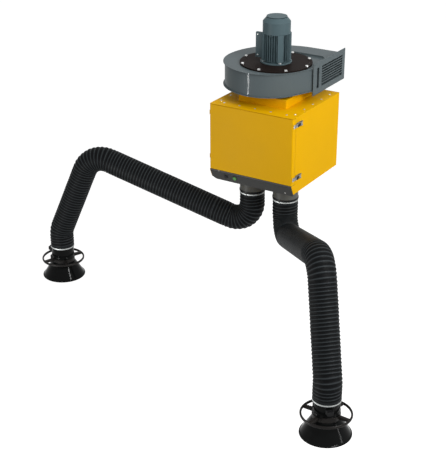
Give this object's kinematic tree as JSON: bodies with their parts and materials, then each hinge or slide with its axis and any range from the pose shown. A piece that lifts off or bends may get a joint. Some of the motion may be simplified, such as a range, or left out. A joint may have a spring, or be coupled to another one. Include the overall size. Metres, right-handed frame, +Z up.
{
  "type": "fume extractor",
  "caption": "Wall-hung fume extractor: filter cabinet with a roof fan and motor, and jointed hose arms that end in flared hoods with grip rings and dampers.",
  "frame": {"origin": "on the wall plane, in the middle of the four anchor bolts of the two wall brackets", "axes": "+X to the right seen from the front, +Y into the wall, +Z up"},
  "size_m": [2.876, 1.8307, 2.0454],
  "materials": {
    "yellow_paint": "gloss powder coat",
    "dark_strip": "satin powder coat",
    "collar_grey": "satin powder coat",
    "casing_grey": "satin paint",
    "motor_paint": "satin paint",
    "motor_plate_black": "satin paint",
    "bracket_steel": "satin powder coat",
    "zinc": "zinc plated",
    "link_steel": "satin paint",
    "latch_metal": "stamped, with a dark grip",
    "hose_black": "satin coated fabric on a wire helix",
    "seal_rubber": "matte",
    "swivel_plastic": "moulded",
    "hood_plastic": "glossy moulded",
    "grip_plastic": "glossy moulded",
    "green_plastic": "glossy moulded",
    "black_plastic": "glossy moulded",
    "filter_media": "pleated fleece in a card frame",
    "impeller_steel": "cast and welded"
  },
  "bodies": {
    "cabinet": {"wall_brackets": "bracket_steel", "cabinet_shell": "yellow_paint", "top_panel": "yellow_paint", "bottom_panel": "yellow_paint", "control_strip": "dark_strip", "inlet_collars": "collar_grey", "filter_cartridge": "filter_media", "hinge_pins": "zinc", "latch_bases": "latch_metal", "riser": "yellow_paint", "fan_scroll": "casing_grey", "fan_top_plate": "casing_grey", "outlet_grille": "casing_grey", "motor_plate": "motor_plate_black", "casing_bolts": "zinc", "motor_flange": "motor_paint", "motor_stator": "motor_paint", "motor_cowl": "motor_paint", "terminal_box": "motor_paint"},
    "door": {"door": "yellow_paint", "door_gasket": "seal_rubber"},
    "upper_latch": {"upper_latch": "latch_metal"},
    "lower_latch": {"lower_latch": "latch_metal"},
    "start_button": {"start_button": "green_plastic"},
    "stop_button": {"stop_button": "black_plastic"},
    "rotor": {"impeller": "impeller_steel", "motor_shaft": "zinc", "cooling_fan": "swivel_plastic"},
    "left_swivel": {"left_swivel_ring": "swivel_plastic", "left_collar_clamp": "zinc", "left_neck_hose": "hose_black", "left_shoulder_pin": "zinc"},
    "left_upper": {"left_upper_arm": "link_steel", "left_upper_hose": "hose_black", "left_elbow_hose": "hose_black"},
    "left_lower": {"left_lower_arm": "link_steel", "left_lower_pins": "zinc", "left_lower_hose": "hose_black", "left_wrist_hose": "hose_black"},
    "left_hood": {"left_wrist_bracket": "link_steel", "left_hood_clamp": "zinc", "left_hood": "hood_plastic", "left_grip_ring": "grip_plastic"},
    "left_damper": {"left_damper": "black_plastic"},
    "right_swivel": {"right_swivel_ring": "swivel_plastic", "right_collar_clamp": "zinc", "right_neck_hose": "hose_black", "right_shoulder_pin": "zinc"},
    "right_upper": {"right_upper_arm": "link_steel", "right_upper_hose": "hose_black", "right_elbow_hose": "hose_black"},
    "right_lower": {"right_lower_arm": "link_steel", "right_lower_pins": "zinc", "right_lower_hose": "hose_black", "right_wrist_hose": "hose_black"},
    "right_hood": {"right_wrist_bracket": "link_steel", "right_hood_clamp": "zinc", "right_hood": "hood_plastic", "right_grip_ring": "grip_plastic"},
    "right_damper": {"right_damper": "black_plastic"}
  },
  "joints": [
    {"name": "door_hinge", "type": "hinge", "parent": "cabinet", "child": "door", "pos_m": [-0.3076, -0.7485, 0], "axis": [0, 0, -1], "range_deg": [0, 110]},
    {"name": "upper_latch_pivot", "type": "hinge", "parent": "cabinet", "child": "upper_latch", "pos_m": [0.3078, -0.687, 0.2025], "axis": [0, 0, 1], "range_deg": [0, 100]},
    {"name": "lower_latch_pivot", "type": "hinge", "parent": "cabinet", "child": "lower_latch", "pos_m": [0.3078, -0.687, -0.146], "axis": [0, 0, 1], "range_deg": [0, 100]},
    {"name": "start_button_press", "type": "slide", "parent": "cabinet", "child": "start_button", "axis": [0, 0.8944, 0.4472], "range_m": [0, 0.004], "stiffness_N_per_m": 900, "springref_m": -0.0015},
    {"name": "stop_button_press", "type": "slide", "parent": "cabinet", "child": "stop_button", "axis": [0, 0.8944, 0.4472], "range_m": [0, 0.004], "stiffness_N_per_m": 900, "springref_m": -0.0015},
    {"name": "rotor_spin", "type": "hinge", "parent": "cabinet", "child": "rotor", "pos_m": [0, -0.4725, 0.5065], "axis": [0, 0, -1], "continuous": true},
    {"name": "left_swivel_turn", "type": "hinge", "parent": "cabinet", "child": "left_swivel", "pos_m": [-0.125, -0.536, -0.3775], "axis": [0, 0, 1], "range_deg": [-21.9, 108.1]},
    {"name": "left_shoulder_bend", "type": "hinge", "parent": "left_swivel", "child": "left_upper", "pos_m": [-0.18799, -0.54927, -0.56221], "axis": [-0.2062, 0.9785, 0], "range_deg": [-42.5, 22.5], "deforming": ["left_neck_hose"]},
    {"name": "left_elbow_bend", "type": "hinge", "parent": "left_upper", "child": "left_lower", "pos_m": [-1.25008, -0.77309, -0.33008], "axis": [-0.2062, 0.9785, 0], "range_deg": [-30.8, 64.2], "deforming": ["left_elbow_hose"]},
    {"name": "left_wrist_bend", "type": "hinge", "parent": "left_lower", "child": "left_hood", "pos_m": [-1.53435, -0.833, -0.91009], "axis": [-0.2062, 0.9785, 0], "range_deg": [-40, 60], "deforming": ["left_wrist_hose"]},
    {"name": "left_damper_turn", "type": "hinge", "parent": "left_hood", "child": "left_damper", "pos_m": [-1.53752, -0.83366, -1.06642], "axis": [-0.9785, -0.2062, 0], "range_deg": [0, 90]},
    {"name": "right_swivel_turn", "type": "hinge", "parent": "cabinet", "child": "right_swivel", "pos_m": [0.125, -0.536, -0.3775], "axis": [0, 0, 1], "range_deg": [-68.5, 61.5]},
    {"name": "right_shoulder_bend", "type": "hinge", "parent": "right_swivel", "child": "right_upper", "pos_m": [0.1659, -0.58742, -0.55839], "axis": [-0.7826, -0.6225, 0], "range_deg": [-43.7, 21.3], "deforming": ["right_neck_hose"]},
    {"name": "right_elbow_bend", "type": "hinge", "parent": "right_upper", "child": "right_lower", "pos_m": [0.83711, -1.43125, -0.30474], "axis": [-0.7826, -0.6225, 0], "range_deg": [-31.8, 63.2], "deforming": ["right_elbow_hose"]},
    {"name": "right_wrist_bend", "type": "hinge", "parent": "right_lower", "child": "right_hood", "pos_m": [1.03114, -1.67517, -0.87496], "axis": [-0.7826, -0.6225, 0], "range_deg": [-40, 60], "deforming": ["right_wrist_hose"]},
    {"name": "right_damper_turn", "type": "hinge", "parent": "right_hood", "child": "right_damper", "pos_m": [1.03356, -1.67821, -1.03108], "axis": [0.6225, -0.7826, 0], "range_deg": [0, 90]}
  ]
}
